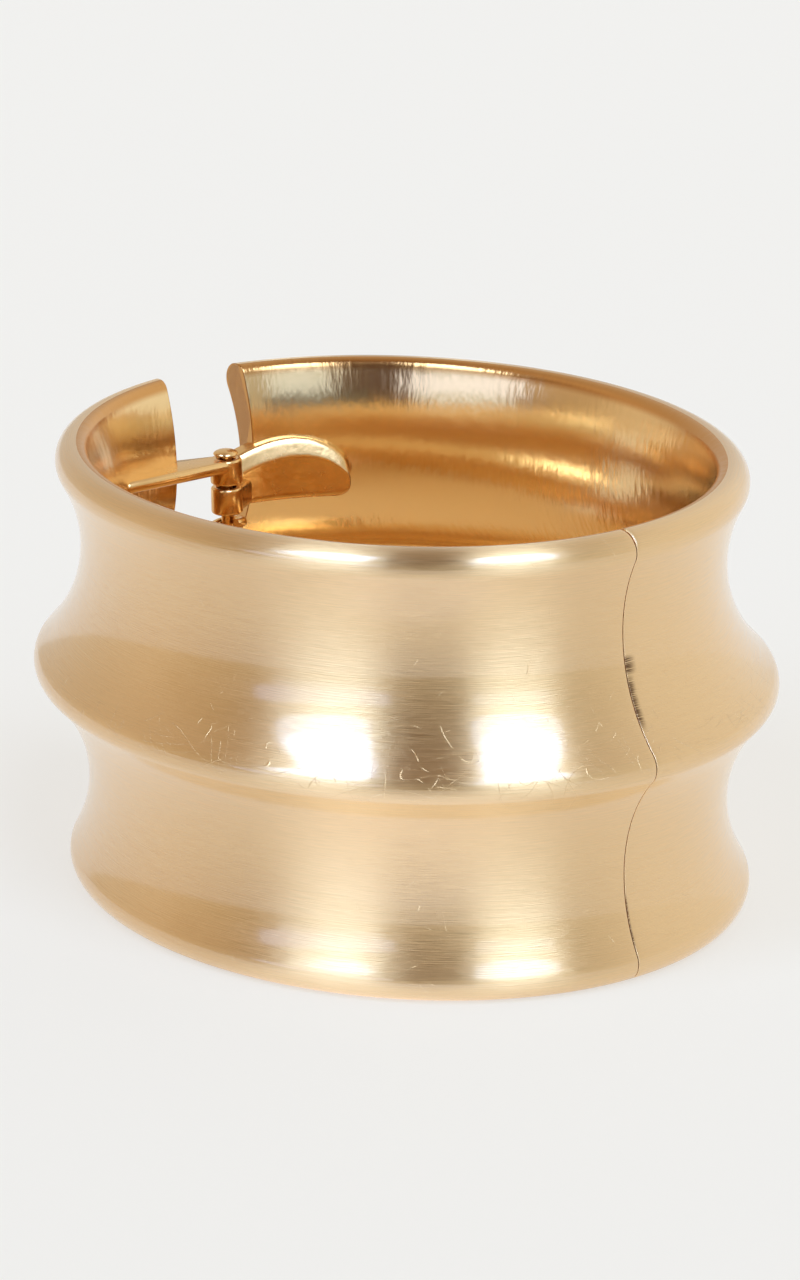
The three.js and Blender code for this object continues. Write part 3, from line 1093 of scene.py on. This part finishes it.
# Softboxes and cards, in degrees: their bottom and top, their left and right edges at the
# bottom, the same at the top, their light, and how square their corners are.
SOFTBOXES = (
    (-5, 8, (-62, -29), (-62, -29), (0.40, 0.40, 0.42), 16),
    (6, 22, (-62, -29), (-64, -30), (0.75, 0.90, 1.15), 16),
    (9, 20, (-98, -70), (-98, -70), (0.50, 0.37, 0.25), 8),
    (10, 20, (-68, -25), (-69, -25), (1.15, 1.32, 2.00), 6),
    (20, 36, (-64, -30), (-65, -31), (0.5, 0.48, 0.45), 16),
    (27, 52, (-63, -31), (-72, -37), (2.0, 2.65, 3.9), 4),
    (38, 65, (-65, -33), (-75, -42), (4.3, 5.8, 8.8), 4),
    (3, 11, (-12, 34), (-12, 34), (0.06, 0.08, 0.09), 16),
    (11, 22, (4, 34), (4, 36), (0.85, 1.02, 1.35), 16),
    (20, 36, (0, 37), (1, 38), (0.5, 0.48, 0.45), 16),
    (26, 52, (3, 38), (5, 47), (2.0, 2.65, 3.9), 4),
    (38, 70, (7, 41), (9, 56), (4.3, 5.6, 8.1), 4),
)
SOFTBOX_EDGE = (1.25, 0.75)

OVERHEAD = (0.3, 0.19, 0.11)
OVERHEAD_START, OVERHEAD_FULL, OVERHEAD_SHARE = 35, 85, 0.7
BACKGROUND = (0.87, 0.88, 0.88)
# Painted light on the floor inside the band, seen only in reflections: a warm bounce from the
# gold.
FLOOR_PAINTED_BOUNCE = (1, 0.72, 0.36)
FLOOR_INSIDE_EDGE = (0.84, 0.92)
POOL_GLOW = (0.96, 1.0, 1.08)
POOL_EDGE = (0.028, 0.009)


def studio_world(camera_azimuth):
    """A dim room with soft boxes in it, and a plain background past the floor's edge."""
    world = bpy.data.worlds.new("studio")
    world.use_nodes = True
    world.node_tree.nodes.clear()
    tree = Tree(world.node_tree)
    x, y, z = tree.parts(out(tree.add("ShaderNodeTexCoord"), "Generated"))
    sine, cosine = math.sin(camera_azimuth), math.cos(camera_azimuth)
    azimuth = maths("ARCTAN2", x * cosine + y * sine, x * sine - y * cosine) * (180 / math.pi)
    elevation = z.arcsine() * (180 / math.pi)

    ramp = tree.add("ShaderNodeValToRGB", Fac=(azimuth + 180) / 360)
    stops = ramp.color_ramp.elements
    for order, (degrees, light) in enumerate(SURROUND):
        place = (degrees + 180) / 360
        stop = stops[order] if order < 2 else stops.new(place)
        stop.position, stop.color = place, (*light, 1)
    high_up = elevation.step(OVERHEAD_START, OVERHEAD_FULL)
    light = tree.mix(ramp, OVERHEAD, high_up * OVERHEAD_SHARE)
    for bottom, top, low_edges, high_edges, glow, square in SOFTBOXES:
        height = (elevation - bottom) / (top - bottom)
        left, right = (a + height * (b - a) for a, b in zip(low_edges, high_edges))
        across = (azimuth - left) / (right - left) * 2 - 1
        reach = across.absolute().power(square) + (height * 2 - 1).absolute().power(square)
        light = tree.mix(light, glow, reach.step(*SOFTBOX_EDGE))
    light = tree.mix(light, BACKGROUND, out(tree.add("ShaderNodeLightPath"), "Is Camera Ray"))
    tree.add("ShaderNodeOutputWorld", Surface=tree.add("ShaderNodeBackground", Color=light))
    return world


def floor_material(studio):
    """A plain pale floor. Only reflections see it warmer inside the band, with a painted bounce
    from the gold and painted shade where its glow is taken away, and see a pool of light on it in
    front of the band."""
    floor = Finish("floor", metallic=0, roughness=0.7)
    place = floor.coordinates()
    seen = out(floor.add("ShaderNodeLightPath"), "Is Camera Ray")
    oval = (band().half_length, band().half_width, 1)
    from_middle = floor.vector_maths("LENGTH", floor.vector_maths("DIVIDE", place, oval))
    open_floor = maths("MAXIMUM", from_middle.step(*FLOOR_INSIDE_EDGE), seen)
    tone = floor.mix(FLOOR_PAINTED_BOUNCE, studio.floor_tone, open_floor)
    # Painted shade: inside the band, reflections see the floor without its glow.
    glow = floor.mix((0, 0, 0), studio.floor_glow, open_floor)
    turn = math.radians(studio.azimuth - studio.pool_turn)
    centre = Vector((math.sin(turn), -math.cos(turn), 0)) * studio.pool_distance
    pool = floor.vector_maths("DISTANCE", place, centre).step(*POOL_EDGE)
    glow = floor.mix(glow, POOL_GLOW, pool * (1 - seen))
    floor.set(Base_Color=tone, Emission_Color=glow, Emission_Strength=1.0)
    return floor.material


class BANGLE_OT_stage(bpy.types.Operator):
    """Set out the floor, the lights and the camera"""

    bl_idname = "bangle.stage"
    bl_label = "Stage"

    def execute(self, context):
        studio = context.scene.bangle_studio
        azimuth, elevation = math.radians(studio.azimuth), math.radians(studio.elevation)
        back = Vector((
            math.sin(azimuth) * math.cos(elevation),
            -math.cos(azimuth) * math.cos(elevation),
            math.sin(elevation),
        ))
        aim = Vector((PIN_AXIS.x + band().pin_inset + studio.aim_shift, 0, studio.aim_height))
        camera = new_piece("camera", bpy.data.cameras.new("camera"))
        camera.data.lens = studio.lens
        camera.data.clip_start = 0.01
        roll = Matrix.Rotation(math.radians(studio.roll), 4, "Z")
        turn = (-back).to_track_quat("-Z", "Y").to_matrix().to_4x4()
        camera.matrix_world = Matrix.Translation(aim + back * studio.distance) @ turn @ roll
        context.scene.camera = camera

        reach = studio.floor_reach
        corners = [(-reach, -reach, 0), (reach, -reach, 0), (reach, reach, 0), (-reach, reach, 0)]
        mesh = bpy.data.meshes.new("floor")
        mesh.from_pydata(corners, [], [(0, 1, 2, 3)])
        mesh.materials.append(floor_material(studio))
        piece = new_piece("floor", mesh)
        piece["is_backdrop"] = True
        context.scene.world = studio_world(azimuth)
        context.scene.view_settings.view_transform = "Standard"
        return {"FINISHED"}


OPERATORS = (
    BANGLE_OT_shells,
    BANGLE_OT_arms,
    BANGLE_OT_pin,
    BANGLE_OT_spring,
    BANGLE_OT_stage,
)


class BANGLE_PT_panel(bpy.types.Panel):
    """Lists the pieces that can be built"""

    bl_label = "Hinged cuff bangle"
    bl_idname = "BANGLE_PT_panel"
    bl_space_type = "VIEW_3D"
    bl_region_type = "UI"
    bl_category = "Bangle"

    def draw(self, context):
        for name, group in SETTINGS.items():
            settings = getattr(context.scene, name)
            box = self.layout.box()
            for field in group.__annotations__:
                box.prop(settings, field)
        for operator in OPERATORS:
            self.layout.operator(operator.bl_idname)


CLASSES = (*SETTINGS.values(), *OPERATORS, BANGLE_PT_panel)


def register():
    for cls in CLASSES:
        bpy.utils.register_class(cls)
    for name, group in SETTINGS.items():
        setattr(bpy.types.Scene, name, PointerProperty(type=group))


def unregister():
    for name in SETTINGS:
        delattr(bpy.types.Scene, name)
    for cls in reversed(CLASSES):
        bpy.utils.unregister_class(cls)


def main():
    register()
    for operator in OPERATORS:
        build = getattr(bpy.ops.bangle, operator.bl_idname.split(".")[1])
        build()
    sizes = {"cad": CAD_BOX, "visual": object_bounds()}
    plain = {name: [list(corner) for corner in box] for name, box in sizes.items()}


if __name__ == "__main__":
    main()
